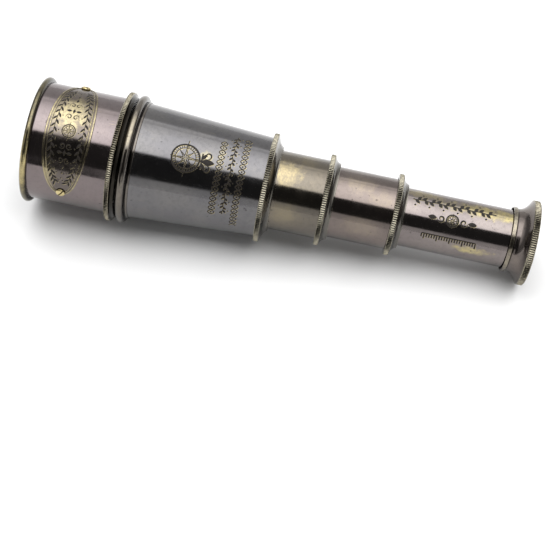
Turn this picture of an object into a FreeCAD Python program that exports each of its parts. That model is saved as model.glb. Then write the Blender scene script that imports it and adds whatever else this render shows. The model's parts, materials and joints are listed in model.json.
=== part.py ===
"""A brass hand telescope with three draws, lying on its side with the draws partly pulled out.

Every piece is turned on one optical axis. Stations along that axis are in millimetres from the middle of the
telescope: the objective end is negative and the eyepiece end is positive. At the end of the script the whole
telescope is laid on the ground, where it rests on the barrel's bead and on the eyepiece rim.
"""

import FreeCAD, Part
import math
import os

V = FreeCAD.Vector

# Driving dimensions: stations and radii of the rings that show on the outside
FRONT_FACE = -118.1
REAR_FACE = 118.1
HOOD_RADIUS = 27.36
FRONT_RIM_RADIUS = 29.6
FRONT_RIM_WIDTH = 3.2
FRONT_RIM_SPIGOT = 5.2  # how far the front rim reaches back, its inner part inside the hood
OBJECTIVE_RING_FRONT, OBJECTIVE_RING_RADIUS = -78.2, 30.5
BEAD_CENTRE, BEAD_RADIUS, BEAD_HALF_WIDTH = -71.3, 30.25, 1.9
BEAD_STEP_WIDTH, BEAD_STEP_RISE = 1.7, 0.45  # the flat band behind the bead, over the barrel
BARREL_FRONT_RADIUS, BARREL_REAR_RADIUS = 27.42, 23.4
BARREL_REAR = -7.5
COLLAR_STATIONS = (-7.5, 20.2, 53.0)
COLLAR_RADII = (25.65, 21.5, 19.2)
COLLAR_BAND, COLLAR_SHOULDER = 2.4, 3.0
DRAW_RADII = (18.59, 16.62, 13.69)
EYEPIECE_LIP_FRONT, EYEPIECE_LIP_RADIUS = 106.6, 15.3
EYEPIECE_RIM_FRONT, EYEPIECE_RIM_RADIUS = 114.9, 20.0

# Walls and fits
HOOD_WALL = 1.06
BARREL_WALL = 1.1
DRAW_WALL = 0.8
SLIDE_GAP = 0.05        # a draw in its spring sleeve
STOP_GAP = 0.07         # a stop ring in the tube that it slides in
SEAT_GAP = 0.03         # pieces that are screwed or soldered together
LIP_GAP = 0.16          # round a draw at a collar's mouth
SLEEVE_LENGTH = 8.0
SLEEVE_SEAT = 0.4       # how far into a collar's shoulder its sleeve reaches

# Closed, each draw's inner end stands this far behind the one outside it
CLOSED_INNER_END = -87.0
CLOSED_STAGGER = 3.5
CLOSED_SPARE = 0.3      # between collars when a draw is pushed home

# Objective lens
OBJECTIVE_SEAT = -101.0
LENS_RADIUS = 24.6
CROWN_FRONT_CURVE, CROWN_REAR_CURVE = 120.0, 95.0
CROWN_EDGE, FLINT_EDGE = 3.0, 5.8
LENS_SPACE = 0.05
SEAT_LIP = 1.4          # how far a lens seat reaches in over the glass

# Nameplate: an oval wrapped on the hood, from its centre
PLATE_STATION, PLATE_ANGLE = -98.7, 26.0
PLATE_HALF_WIDTH, PLATE_HALF_ANGLE = 10.7, 68.0
PLATE_THICKNESS = 0.55
SCREW_HALF_ANGLE = 64.3
SCREW_HEAD_RADIUS, SCREW_HEAD_HEIGHT = 2.2, 1.1
SCREW_SHANK_RADIUS, SCREW_HOLE_RADIUS = 0.95, 1.0
SCREW_SLOT = 0.5

# Erector and eyepiece glasses
ERECTOR_LENGTH = 32.0
ERECTOR_WALL = 0.75
EYE_TUBE_FRONT, EYE_TUBE_RADIUS, EYE_TUBE_WALL = 86.0, 12.6, 0.95
EYE_HOLE_RADIUS = 5.0

AXIS = V(1, 0, 0)
ORIGIN = V(0, 0, 0)


def turned(*outline):
    """A solid of revolution about the optical axis. A step of the outline is a point (station, radius), or two
    points for an arc: one that it passes through and the one where it ends."""
    def point(step):
        return V(step[0], 0, step[1])

    edges = []
    here = outline[0]
    for step in outline[1:] + (outline[0],):
        if isinstance(step[0], tuple):
            through, end = step
            edges.append(Part.Arc(point(here), point(through), point(end)).toShape())
        else:
            end = step
            edges.append(Part.LineSegment(point(here), point(end)).toShape())
        here = end
    return Part.Face(Part.Wire(edges)).revolve(ORIGIN, AXIS, 360)


def tube(front, rear, outer, inner):
    return turned((front, inner), (front, outer), (rear, outer), (rear, inner))


def sag(radius, curve):
    """How far a sphere of this curve falls back from its vertex at this radius."""
    return curve - math.sqrt(curve ** 2 - radius ** 2)


def lens(front, rear, radius, front_curve, rear_curve):
    """A lens whose cylindrical edge runs from front to rear. A positive curve bulges out of the lens, a negative
    one goes into it, and None is a flat face."""
    def vertex(edge, curve, outward):
        if curve is None:
            return edge, None
        depth = math.copysign(1, curve) * outward
        middle = edge + depth * (sag(radius, abs(curve)) - sag(radius / 2, abs(curve)))
        return edge + depth * sag(radius, abs(curve)), (middle, radius / 2)

    front_vertex, front_middle = vertex(front, front_curve, -1)
    rear_vertex, rear_middle = vertex(rear, rear_curve, 1)
    outline = [(front_vertex, 0)]
    outline.append((front_middle, (front, radius)) if front_middle else (front, radius))
    outline.append((rear, radius))
    outline.append((rear_middle, (rear_vertex, 0)) if rear_middle else (rear_vertex, 0))
    return turned(*outline)


def bar(front, rear, radius, width, angle):
    """A straight bar that reaches from the axis out to a radius, for cutting slits and notches."""
    box = Part.makeBox(rear - front, width, radius, V(front, -width / 2, 0))
    box.rotate(ORIGIN, AXIS, angle)
    return box


def radial(shape, angle):
    """Turn a shape that was made pointing up round the axis, towards the near side (-Y)."""
    shape.rotate(ORIGIN, AXIS, angle)
    return shape


def barrel_radius(station):
    share = (station - BEAD_CENTRE) / (BARREL_REAR - BEAD_CENTRE)
    return BARREL_FRONT_RADIUS + share * (BARREL_REAR_RADIUS - BARREL_FRONT_RADIUS)


# Barrel group

HOOD_BORE = HOOD_RADIUS - HOOD_WALL
FRONT_RIM_BORE = HOOD_BORE - 0.9
HOOD_FRONT = FRONT_FACE + 0.8
HOOD_REAR = OBJECTIVE_RING_FRONT + 1.8


def screw_axes():
    return [PLATE_ANGLE - SCREW_HALF_ANGLE, PLATE_ANGLE + SCREW_HALF_ANGLE]


def screw_holes():
    holes = [Part.makeCylinder(SCREW_HOLE_RADIUS, HOOD_RADIUS + 5, V(PLATE_STATION, 0, 0), V(0, 0, 1))
             for _ in screw_axes()]
    return [radial(hole, angle) for hole, angle in zip(holes, screw_axes())]


def hood_tube():
    shell = tube(HOOD_FRONT, HOOD_REAR, HOOD_RADIUS, HOOD_BORE)
    for hole in screw_holes():
        shell = shell.cut(hole)
    return shell


def front_rim():
    """The rounded rim wraps the hood's front edge, with a flat face that the telescope can stand on and a spigot
    that fits inside the hood."""
    rear = FRONT_FACE + FRONT_RIM_WIDTH
    step = HOOD_RADIUS + SEAT_GAP
    middle = FRONT_FACE + FRONT_RIM_WIDTH / 2
    spigot, spigot_rear = HOOD_BORE - SEAT_GAP, FRONT_FACE + FRONT_RIM_SPIGOT
    return turned((FRONT_FACE, FRONT_RIM_BORE), (FRONT_FACE, step + 0.3),
                  ((middle, FRONT_RIM_RADIUS), (rear, step + 0.3)),
                  (rear, step), (HOOD_FRONT, step), (HOOD_FRONT, spigot),
                  (spigot_rear, spigot), (spigot_rear, FRONT_RIM_BORE))


def nameplate():
    outline = []
    steps = 32
    for i in range(steps):
        turn = 2 * math.pi * i / steps
        across = math.radians(PLATE_HALF_ANGLE) * math.sin(turn)
        outline.append(V(PLATE_STATION + PLATE_HALF_WIDTH * math.cos(turn), HOOD_RADIUS * math.sin(across), 0))
    curve = Part.BSplineCurve()
    curve.interpolate(outline, PeriodicFlag=True)
    prism = Part.Face(Part.Wire(curve.toShape())).extrude(V(0, 0, HOOD_RADIUS + 5))
    inner = HOOD_RADIUS + 0.01
    shell = tube(PLATE_STATION - 15, PLATE_STATION + 15, inner + PLATE_THICKNESS, inner)
    plate = radial(shell.common(prism), PLATE_ANGLE)
    for hole in screw_holes():
        plate = plate.cut(hole)
    return plate


def nameplate_screws():
    """Slotted round-head screws at the two tips of the nameplate."""
    seat = HOOD_RADIUS + PLATE_THICKNESS + 0.02
    top = seat + SCREW_HEAD_HEIGHT
    screws = []
    for angle in screw_axes():
        dome_radius = (SCREW_HEAD_RADIUS ** 2 + SCREW_HEAD_HEIGHT ** 2) / (2 * SCREW_HEAD_HEIGHT)
        dome = Part.makeSphere(dome_radius, V(PLATE_STATION, 0, top - dome_radius))
        head = Part.makeCylinder(SCREW_HEAD_RADIUS, 2, V(PLATE_STATION, 0, seat)).common(dome)
        slot = Part.makeBox(SCREW_SLOT, 6, 1, V(PLATE_STATION - SCREW_SLOT / 2, -3, top - 0.45))
        bottom = HOOD_BORE + 0.1
        shank = Part.makeCylinder(SCREW_SHANK_RADIUS, seat - bottom + 0.01, V(PLATE_STATION, 0, bottom))
        screws.append(radial(head.cut(slot).fuse(shank).removeSplitter(), angle))
    return Part.makeCompound(screws)


SEAT_FRONT = OBJECTIVE_SEAT - 2.6
CROWN_SEAT_SAG = sag(LENS_RADIUS, CROWN_FRONT_CURVE) - sag(LENS_RADIUS - SEAT_LIP, CROWN_FRONT_CURVE)
CROWN_FRONT = OBJECTIVE_SEAT + CROWN_SEAT_SAG
CROWN_REAR = CROWN_FRONT + LENS_SPACE + CROWN_EDGE
FLINT_FRONT = CROWN_REAR + LENS_SPACE
FLINT_REAR = FLINT_FRONT + FLINT_EDGE
RETAINER_LENGTH = 1.9
SEAT_REAR = FLINT_REAR + RETAINER_LENGTH + 0.4


def objective_seat_ring():
    outer = HOOD_BORE - SEAT_GAP
    bore = LENS_RADIUS + LENS_SPACE
    return turned((SEAT_FRONT, LENS_RADIUS - SEAT_LIP), (SEAT_FRONT, outer), (SEAT_REAR, outer),
                  (SEAT_REAR, bore), (OBJECTIVE_SEAT, bore), (OBJECTIVE_SEAT, LENS_RADIUS - SEAT_LIP))


def objective_crown_lens():
    return lens(CROWN_FRONT + LENS_SPACE, CROWN_REAR, LENS_RADIUS, CROWN_FRONT_CURVE, CROWN_REAR_CURVE)


def objective_flint_lens():
    return lens(FLINT_FRONT, FLINT_REAR, LENS_RADIUS, -CROWN_REAR_CURVE, None)


def spanner_ring(front, rear, outer, inner):
    """A threaded retaining ring with two notches for a lens spanner."""
    ring = tube(front, rear, outer, inner)
    for angle in (90, 270):
        ring = ring.cut(bar((front + rear) / 2, rear + 1, outer + 1, 1.5, angle))
    return ring


def objective_retaining_ring():
    front = FLINT_REAR + 0.02
    return spanner_ring(front, front + RETAINER_LENGTH, LENS_RADIUS + 0.02, LENS_RADIUS - 2)


SPIGOT_RADIUS, SPIGOT_BORE = 24.37, 23.2
SPIGOT_REAR = -66.0
RING_CREST = -76.0
RING_REAR = -74.2


def objective_knurled_ring():
    """The grip that screws the hood into the barrel: a straight band in front and a hollow shoulder behind."""
    step = HOOD_RADIUS + SEAT_GAP
    front, radius = OBJECTIVE_RING_FRONT, OBJECTIVE_RING_RADIUS
    return turned((front, step), (front, radius - 0.3), (front + 0.3, radius), (RING_CREST, radius),
                  ((RING_CREST + 0.55, radius - 1.35), (RING_REAR, radius - 2.2)), (RING_REAR, SPIGOT_RADIUS),
                  (SPIGOT_REAR, SPIGOT_RADIUS), (SPIGOT_REAR, SPIGOT_BORE), (HOOD_REAR, SPIGOT_BORE),
                  (HOOD_REAR, step))


BEAD_FRONT = BEAD_CENTRE - BEAD_HALF_WIDTH
BEAD_REAR = BEAD_CENTRE + BEAD_HALF_WIDTH
BEAD_STEP_REAR = BEAD_REAR + BEAD_STEP_WIDTH


def barrel_bead_ring():
    """The rounded bead at the barrel's mouth and the flat band behind it, bored for the objective ring's spigot."""
    shoulder = BEAD_RADIUS - BEAD_HALF_WIDTH
    bore = SPIGOT_RADIUS + SEAT_GAP
    skirt_rear = -63.5
    skirt = barrel_radius(skirt_rear) - BARREL_WALL - SEAT_GAP
    step = barrel_radius(BEAD_STEP_REAR) + BEAD_STEP_RISE
    return turned((BEAD_FRONT, bore), (BEAD_FRONT, shoulder),
                  ((BEAD_CENTRE, BEAD_RADIUS), (BEAD_REAR, shoulder)),
                  (BEAD_REAR, step), (BEAD_STEP_REAR - 0.15, step), (BEAD_STEP_REAR, step - 0.15),
                  (BEAD_STEP_REAR, skirt), (skirt_rear, skirt), (skirt_rear, bore))


COLLAR_HALF = COLLAR_BAND / 2
BARREL_END = BARREL_REAR + 0.5


def barrel_tube():
    front = BEAD_STEP_REAR + 0.01
    return turned((front, barrel_radius(front) - BARREL_WALL), (front, barrel_radius(front)),
                  (BARREL_END, barrel_radius(BARREL_END)), (BARREL_END, barrel_radius(BARREL_END) - BARREL_WALL))


def collar_rear(station):
    return station + COLLAR_HALF + COLLAR_SHOULDER


def sleeve_rear(station):
    return station + COLLAR_HALF + SLEEVE_SEAT


def collar(station, radius, step, tube_end, bore, draw, spigot=None):
    """A collar: a straight band, then a hollow shoulder that falls to a thin lip round the draw. Its front is
    stepped over the tube that it caps. The barrel's collar also has a spigot that reaches into the barrel."""
    front, crest, rear = station - COLLAR_HALF, station + COLLAR_HALF, collar_rear(station)
    seat = sleeve_rear(station) + 0.01
    mouth = draw + LIP_GAP
    edge = mouth + 1.3
    foot = radius - 0.35
    middle = ((crest + rear) / 2 - 0.25, (foot + edge) / 2 - 0.55)
    outline = [(front, step), (front, radius - 0.2), (front + 0.2, radius), (crest - 0.2, radius),
               (crest, radius - 0.2), (crest, foot), (middle, (rear - 0.35, edge)), (rear, edge),
               (rear, mouth), (seat, mouth), (seat, bore)]
    if spigot:
        reach, thick = spigot
        outline += [(tube_end - reach, bore), (tube_end - reach, thick), (tube_end, thick)]
    else:
        outline += [(tube_end, bore)]
    outline += [(tube_end, step)]
    return turned(*outline)


def spring_sleeve(rear, outer, draw):
    """The split sleeve that grips a draw, slit from its inner end."""
    front = rear - SLEEVE_LENGTH
    sleeve = tube(front, rear, outer, draw + SLIDE_GAP)
    for angle in (30, 150, 270):
        sleeve = sleeve.cut(bar(front - 1, rear - 3.0, outer + 1, 0.6, angle))
    return sleeve


BARREL_SLEEVE_RADIUS = 20.0


def barrel_collar():
    step = barrel_radius(COLLAR_STATIONS[0] - COLLAR_HALF) + SEAT_GAP
    return collar(COLLAR_STATIONS[0], COLLAR_RADII[0], step, BARREL_END + 0.01, BARREL_SLEEVE_RADIUS,
                  DRAW_RADII[0], spigot=(3.5, 21.6))


def barrel_spring_sleeve():
    return spring_sleeve(sleeve_rear(COLLAR_STATIONS[0]), BARREL_SLEEVE_RADIUS - SEAT_GAP, DRAW_RADII[0])


# Draws. A draw is a tube with a stop ring at its inner end. The first two carry a collar with its sleeve.

def pushed_home(index):
    """How far this draw can be pushed in from where it rests, alone."""
    inner_collar = collar_rear(COLLAR_STATIONS[index])
    outer_front = COLLAR_STATIONS[index + 1] - COLLAR_HALF if index < 2 else EYEPIECE_LIP_FRONT
    return outer_front - inner_collar - CLOSED_SPARE


def inner_end(index):
    """The station of a draw's inner end as it rests."""
    closed = CLOSED_INNER_END + index * CLOSED_STAGGER
    return closed + sum(pushed_home(i) for i in range(index + 1))


def draw_bore(index):
    return DRAW_RADII[index] - DRAW_WALL


STOP_RADII = (22.5, draw_bore(0) - STOP_GAP, draw_bore(1) - STOP_GAP)
STOP_WIDTH = 3.4
STOP_FACE = 0.8


def pulled_out(index):
    """How far this draw can be pulled out from where it rests, until its stop ring meets the sleeve."""
    sleeve_front = sleeve_rear(COLLAR_STATIONS[index]) - SLEEVE_LENGTH
    return sleeve_front - (inner_end(index) + STOP_WIDTH) - CLOSED_SPARE


def outer_end(index):
    return COLLAR_STATIONS[index + 1] + 0.5 if index < 2 else EYEPIECE_LIP_FRONT + 3.4


def draw_tube(index):
    return tube(inner_end(index) + STOP_FACE + 0.01, outer_end(index), DRAW_RADII[index], draw_bore(index))


def draw_stop_ring(index):
    """A ring screwed on the draw's inner end. Its face closes in over the tube's edge as a glare stop."""
    front = inner_end(index)
    step = DRAW_RADII[index] + SEAT_GAP
    glare = draw_bore(index) - 1.2
    outer = STOP_RADII[index]
    return turned((front, glare), (front, outer - 0.2), (front + 0.2, outer), (front + STOP_WIDTH, outer),
                  (front + STOP_WIDTH, step), (front + STOP_FACE, step), (front + STOP_FACE, glare))


def draw_collar(index):
    return collar(COLLAR_STATIONS[index + 1], COLLAR_RADII[index + 1], DRAW_RADII[index] + SEAT_GAP,
                  outer_end(index) + 0.01, draw_bore(index), DRAW_RADII[index + 1])


def draw_spring_sleeve(index):
    return spring_sleeve(sleeve_rear(COLLAR_STATIONS[index + 1]), draw_bore(index) - SEAT_GAP,
                         DRAW_RADII[index + 1])


# Erector, in the inner end of the third draw

ERECTOR_RADIUS = draw_bore(2) - SEAT_GAP
ERECTOR_BORE = ERECTOR_RADIUS - ERECTOR_WALL
ERECTOR_FRONT = inner_end(2) + STOP_FACE + 0.02
ERECTOR_REAR = ERECTOR_FRONT + ERECTOR_LENGTH
ERECTOR_GLASS = ERECTOR_BORE - 0.04


def erector_tube():
    """A tube with a shoulder inside each end, where its lenses seat."""
    lip = ERECTOR_BORE - 1.2
    seats = (ERECTOR_FRONT + 6, ERECTOR_REAR - 6)
    return turned((ERECTOR_FRONT, ERECTOR_BORE), (ERECTOR_FRONT, ERECTOR_RADIUS), (ERECTOR_REAR, ERECTOR_RADIUS),
                  (ERECTOR_REAR, ERECTOR_BORE), (seats[1], ERECTOR_BORE), (seats[1], lip), (seats[0], lip),
                  (seats[0], ERECTOR_BORE))


def erector_front_lens():
    rear = ERECTOR_FRONT + 6 - 0.02
    return lens(rear - 3.2, rear, ERECTOR_GLASS, 38.0, None)


def erector_rear_lens():
    front = ERECTOR_REAR - 6 + 0.02
    return lens(front, front + 3.2, ERECTOR_GLASS, None, 38.0)


def erector_lens_rings():
    ring_length = 1.6
    front_ring = tube(ERECTOR_FRONT + 0.3, ERECTOR_FRONT + 0.3 + ring_length, ERECTOR_GLASS, ERECTOR_GLASS - 1.6)
    rear_ring = tube(ERECTOR_REAR - 0.3 - ring_length, ERECTOR_REAR - 0.3, ERECTOR_GLASS, ERECTOR_GLASS - 1.6)
    return Part.makeCompound([front_ring, rear_ring])


def erector_aperture_stop():
    middle = (ERECTOR_FRONT + ERECTOR_REAR) / 2
    return tube(middle, middle + 1.0, ERECTOR_BORE - 1.24, 4.0)


# Eyepiece

EYE_TUBE_BORE = EYE_TUBE_RADIUS - EYE_TUBE_WALL
WEB_FRONT = outer_end(2) + 0.01
WEB_REAR = WEB_FRONT + 1.2
EYE_TUBE_REAR = WEB_REAR
EYE_GLASS = EYE_TUBE_BORE - 0.04
EYE_DISC_RADIUS = 13.4


def eyepiece_body():
    """The flared cup: a lip round the third draw, a waist, and a trumpet that carries the knurled rim."""
    lip_front, lip = EYEPIECE_LIP_FRONT, EYEPIECE_LIP_RADIUS
    rim = EYEPIECE_RIM_FRONT
    step = DRAW_RADII[2] + SEAT_GAP
    flare = EYEPIECE_RIM_RADIUS - 0.4
    rim_seat = 18.0
    return turned((lip_front, lip - 0.6), (lip_front, lip - 0.2), (lip_front + 0.2, lip), (lip_front + 1.7, lip),
                  ((lip_front + 2.1, lip - 0.1), (lip_front + 2.3, lip - 0.55)),
                  ((lip_front + 5.3, lip + 0.15), (rim, flare)), (rim, rim_seat), (rim + 1.5, rim_seat),
                  (rim + 1.5, rim_seat - 0.9),
                  ((rim - 1.6, rim_seat - 2.9), (WEB_REAR, EYE_DISC_RADIUS + SEAT_GAP)),
                  (WEB_REAR, EYE_TUBE_RADIUS + SEAT_GAP), (WEB_FRONT, EYE_TUBE_RADIUS + SEAT_GAP),
                  (WEB_FRONT, step), (lip_front + 1.6, step), (lip_front + 1.6, lip - 0.6))


def eyepiece_knurled_rim():
    front, rear, radius = EYEPIECE_RIM_FRONT + 0.01, REAR_FACE, EYEPIECE_RIM_RADIUS
    seat = 18.0 + SEAT_GAP
    inner = 17.1
    return turned((front, seat), (front, radius - 0.35), (front + 0.35, radius), (rear - 0.5, radius),
                  ((rear - 0.15, radius - 0.15), (rear, radius - 0.5)), (rear, inner + 0.9),
                  ((rear - 0.35, inner + 0.3), (rear - 1.1, inner)), (front + 1.5, inner), (front + 1.5, seat))


def eyepiece_lens_tube():
    return tube(EYE_TUBE_FRONT, EYE_TUBE_REAR, EYE_TUBE_RADIUS, EYE_TUBE_BORE)


def eyepiece_field_lens():
    front = EYE_TUBE_FRONT + 2.2
    return lens(front, front + 2.4, EYE_GLASS, 30.0, None)


def eyepiece_field_stop():
    front = EYE_TUBE_FRONT + 13.0
    return tube(front, front + 1.0, EYE_GLASS, 7.0)


def eyepiece_eye_lens():
    rear = EYE_TUBE_REAR - 0.4
    return lens(rear - 2.2, rear, EYE_GLASS, 26.0, None)


def eyepiece_lens_rings():
    """The rings that hold the field lens from in front and the eye lens from inside the tube."""
    front_ring = tube(EYE_TUBE_FRONT + 0.3, EYE_TUBE_FRONT + 1.7, EYE_GLASS, EYE_GLASS - 0.35)
    eye_front = EYE_TUBE_REAR - 3.4
    rear_ring = tube(eye_front - 1.6, eye_front, EYE_GLASS, EYE_GLASS - 1.5)
    return Part.makeCompound([front_ring, rear_ring])


def eyepiece_eye_disc():
    """The dished disc in the bottom of the cup, with the hole that the eye looks through."""
    front = WEB_REAR + 0.02
    return turned((front, EYE_HOLE_RADIUS + 0.6), (front, EYE_DISC_RADIUS), (front + 0.8, EYE_DISC_RADIUS),
                  ((front + 1.0, 10.0), (front + 1.7, EYE_HOLE_RADIUS + 1.4)), (front + 1.7, EYE_HOLE_RADIUS + 0.3),
                  (front + 1.3, EYE_HOLE_RADIUS), (front + 0.5, EYE_HOLE_RADIUS))


def pieces():
    nodes = {
        "hood_tube": hood_tube(),
        "front_rim": front_rim(),
        "nameplate": nameplate(),
        "nameplate_screws": nameplate_screws(),
        "objective_seat_ring": objective_seat_ring(),
        "objective_crown_lens": objective_crown_lens(),
        "objective_flint_lens": objective_flint_lens(),
        "objective_retaining_ring": objective_retaining_ring(),
        "objective_knurled_ring": objective_knurled_ring(),
        "barrel_bead_ring": barrel_bead_ring(),
        "barrel_tube": barrel_tube(),
        "barrel_collar": barrel_collar(),
        "barrel_spring_sleeve": barrel_spring_sleeve(),
        "erector_tube": erector_tube(),
        "erector_front_lens": erector_front_lens(),
        "erector_rear_lens": erector_rear_lens(),
        "erector_lens_rings": erector_lens_rings(),
        "erector_aperture_stop": erector_aperture_stop(),
        "eyepiece_body": eyepiece_body(),
        "eyepiece_knurled_rim": eyepiece_knurled_rim(),
        "eyepiece_lens_tube": eyepiece_lens_tube(),
        "eyepiece_field_lens": eyepiece_field_lens(),
        "eyepiece_field_stop": eyepiece_field_stop(),
        "eyepiece_eye_lens": eyepiece_eye_lens(),
        "eyepiece_lens_rings": eyepiece_lens_rings(),
        "eyepiece_eye_disc": eyepiece_eye_disc(),
    }
    for index in range(3):
        nodes[f"draw_{index + 1}_tube"] = draw_tube(index)
        nodes[f"draw_{index + 1}_stop_ring"] = draw_stop_ring(index)
        if index < 2:
            nodes[f"draw_{index + 1}_collar"] = draw_collar(index)
            nodes[f"draw_{index + 1}_spring_sleeve"] = draw_spring_sleeve(index)
    return nodes


def resting_tilt():
    """The angle, in degrees, at which the telescope lies: its axis falls towards the eyepiece. The ground line is
    tangent to the bead's rounding and passes through the edge of the eyepiece rim."""
    rounding = BEAD_HALF_WIDTH
    rise = BEAD_RADIUS - rounding - EYEPIECE_RIM_RADIUS
    run = REAR_FACE - 0.5 - BEAD_CENTRE
    return math.degrees(math.atan2(rise, run) + math.asin(rounding / math.hypot(rise, run)))


def laid_down(nodes):
    """Tilt every piece to its resting angle and bring the underside's middle to the origin."""
    tilt = resting_tilt()
    for shape in nodes.values():
        shape.rotate(ORIGIN, V(0, 1, 0), tilt)
    box = Part.makeCompound(list(nodes.values())).optimalBoundingBox(False, False)
    shift = V(-(box.XMin + box.XMax) / 2, 0, -box.ZMin)
    for shape in nodes.values():
        shape.translate(shift)
    return tilt, shift


NODES = pieces()
TILT, SHIFT = laid_down(NODES)

os.makedirs("parts", exist_ok=True)
for name, shape in NODES.items():
    solids = shape.Solids
    if not shape.isValid() or not solids:
        raise ValueError(f"{name} is not a valid solid")
    shape.exportStep(f"parts/{name}.step")
    print(f"{name}: {len(solids)} solid, {shape.Volume:.0f} mm3")
print(f"tilt {TILT:.3f} degrees, shift {SHIFT.x:.3f} {SHIFT.z:.3f}")
for index in range(3):
    print(f"draw {index + 1}: in {pushed_home(index):.2f} mm, out {pulled_out(index):.2f} mm")
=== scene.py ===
"""The looks of the brass telescope: camera, studio, materials, knurled rings, nameplate and engraving."""

import json
import math

import bmesh
import bpy
import numpy as np
from mathutils import Matrix, Vector


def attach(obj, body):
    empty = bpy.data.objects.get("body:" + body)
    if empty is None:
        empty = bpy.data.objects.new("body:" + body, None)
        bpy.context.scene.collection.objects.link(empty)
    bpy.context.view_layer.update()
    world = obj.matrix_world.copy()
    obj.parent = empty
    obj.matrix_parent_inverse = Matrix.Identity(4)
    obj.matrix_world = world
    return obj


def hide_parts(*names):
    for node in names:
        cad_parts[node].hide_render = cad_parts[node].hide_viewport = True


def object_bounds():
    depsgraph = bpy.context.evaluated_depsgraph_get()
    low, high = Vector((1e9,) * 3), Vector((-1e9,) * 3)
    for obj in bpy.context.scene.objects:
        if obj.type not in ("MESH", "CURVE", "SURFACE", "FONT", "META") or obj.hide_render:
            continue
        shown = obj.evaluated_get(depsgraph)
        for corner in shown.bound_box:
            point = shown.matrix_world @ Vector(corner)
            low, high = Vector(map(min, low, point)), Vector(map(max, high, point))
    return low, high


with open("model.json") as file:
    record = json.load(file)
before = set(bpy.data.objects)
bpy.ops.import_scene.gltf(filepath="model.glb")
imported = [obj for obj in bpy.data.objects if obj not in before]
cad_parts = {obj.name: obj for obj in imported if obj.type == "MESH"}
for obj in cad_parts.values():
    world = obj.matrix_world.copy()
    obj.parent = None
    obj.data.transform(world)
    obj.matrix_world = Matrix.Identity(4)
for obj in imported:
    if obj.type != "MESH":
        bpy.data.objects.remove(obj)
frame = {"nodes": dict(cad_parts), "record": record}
CAD_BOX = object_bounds()

MM = 0.001

# ---------------------------------------------------------------- the optical axis

RECORD = frame["record"]
ALONG = Vector(RECORD["behaviour"]["joints"][0]["axis"]).normalized()
NEAR = Vector((0, -1, 0))
UP = NEAR.cross(ALONG)
MOUTH = next(mount for mount in RECORD["mounts"] if mount["name"] == "hood_mouth")
FRONT = Vector(MOUTH["pos_m"]) - ALONG * (MOUTH["dims"]["length_mm"] * MM / 2)
# Turns the row frame into the telescope's own: X along the axis from the front face, Y up, Z to the near side
TO_AXIS = Matrix((ALONG, UP, NEAR)).to_4x4() @ Matrix.Translation(-FRONT)
FROM_AXIS = TO_AXIS.inverted()


def node_points(node):
    """Stations, radii and angles of a CAD node's vertices, in millimetres and radians."""
    points = np.array([TO_AXIS @ v.co for v in frame["nodes"][node].data.vertices]) / MM
    return points[:, 0], np.hypot(points[:, 1], points[:, 2]), np.arctan2(points[:, 2], points[:, 1])


def span(node):
    """Where a CAD node lies on the axis, in millimetres: front, rear, smallest and largest radius."""
    stations, radii, _ = node_points(node)
    return stations.min(), stations.max(), radii.min(), radii.max()


def axis_points(stations, radii, angles):
    """Row-frame points, in metres, from stations and radii in millimetres and angles in radians."""
    flat = np.stack([stations, radii * np.cos(angles), radii * np.sin(angles)], axis=-1) * MM
    turn = np.array(FROM_AXIS.to_3x3())
    return flat @ turn.T + np.array(FROM_AXIS.translation)


# ---------------------------------------------------------------- shader nodes

def feed(tree, socket, value):
    """Set a socket to a number or a colour, or link it."""
    if isinstance(value, (int, float)):
        socket.default_value = value
    elif isinstance(value, tuple):
        socket.default_value = (*value, 1)
    else:
        tree.links.new(value, socket)


def math_node(tree, operation, *values):
    node = tree.nodes.new("ShaderNodeMath")
    node.operation = operation
    for socket, value in zip(node.inputs, values):
        feed(tree, socket, value)
    return node.outputs[0]


def product(tree, first, *others):
    for other in others:
        first = math_node(tree, "MULTIPLY", first, other)
    return first


def total(tree, first, *others):
    for other in others:
        first = math_node(tree, "ADD", first, other)
    return first


def map_range(tree, value, low, high, to_low=0.0, to_high=1.0, smooth=False):
    node = tree.nodes.new("ShaderNodeMapRange")
    node.interpolation_type = "SMOOTHSTEP" if smooth else "LINEAR"
    node.clamp = True
    ends = {"Value": value, "From Min": low, "From Max": high, "To Min": to_low, "To Max": to_high}
    for name, end in ends.items():
        feed(tree, node.inputs[name], end)
    return node.outputs["Result"]


def combine(tree, *values):
    node = tree.nodes.new("ShaderNodeCombineXYZ")
    for socket, value in zip(node.inputs, values):
        feed(tree, socket, value)
    return node.outputs[0]


def noise(tree, vector, scale, detail, roughness=0.55, distortion=0.0):
    node = tree.nodes.new("ShaderNodeTexNoise")
    settings = {"Vector": vector, "Scale": scale, "Detail": detail, "Roughness": roughness,
                "Distortion": distortion}
    for name, value in settings.items():
        feed(tree, node.inputs[name], value)
    return node.outputs["Fac"]


def mix_colour(tree, share, first, second):
    node = tree.nodes.new("ShaderNodeMix")
    node.data_type = "RGBA"
    sockets = {s.identifier: s for s in node.inputs}
    for name, value in (("Factor_Float", share), ("A_Color", first), ("B_Color", second)):
        feed(tree, sockets[name], value)
    return next(s for s in node.outputs if s.identifier == "Result_Color")


def attribute(tree, name):
    node = tree.nodes.new("ShaderNodeAttribute")
    node.attribute_name = name
    return node.outputs["Fac"]


# ---------------------------------------------------------------- camera and studio

CAMERA_YAW = math.radians(-6.58)
CAMERA_ELEVATION = math.radians(54.0)
CAMERA_ROLL = math.radians(-4.92)
CAMERA_TARGET = Vector((0.0052, -0.0439, 0.020))
CAMERA_DISTANCE = 0.6148
SENSOR = 36.0
LENS = 89.0


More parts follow.
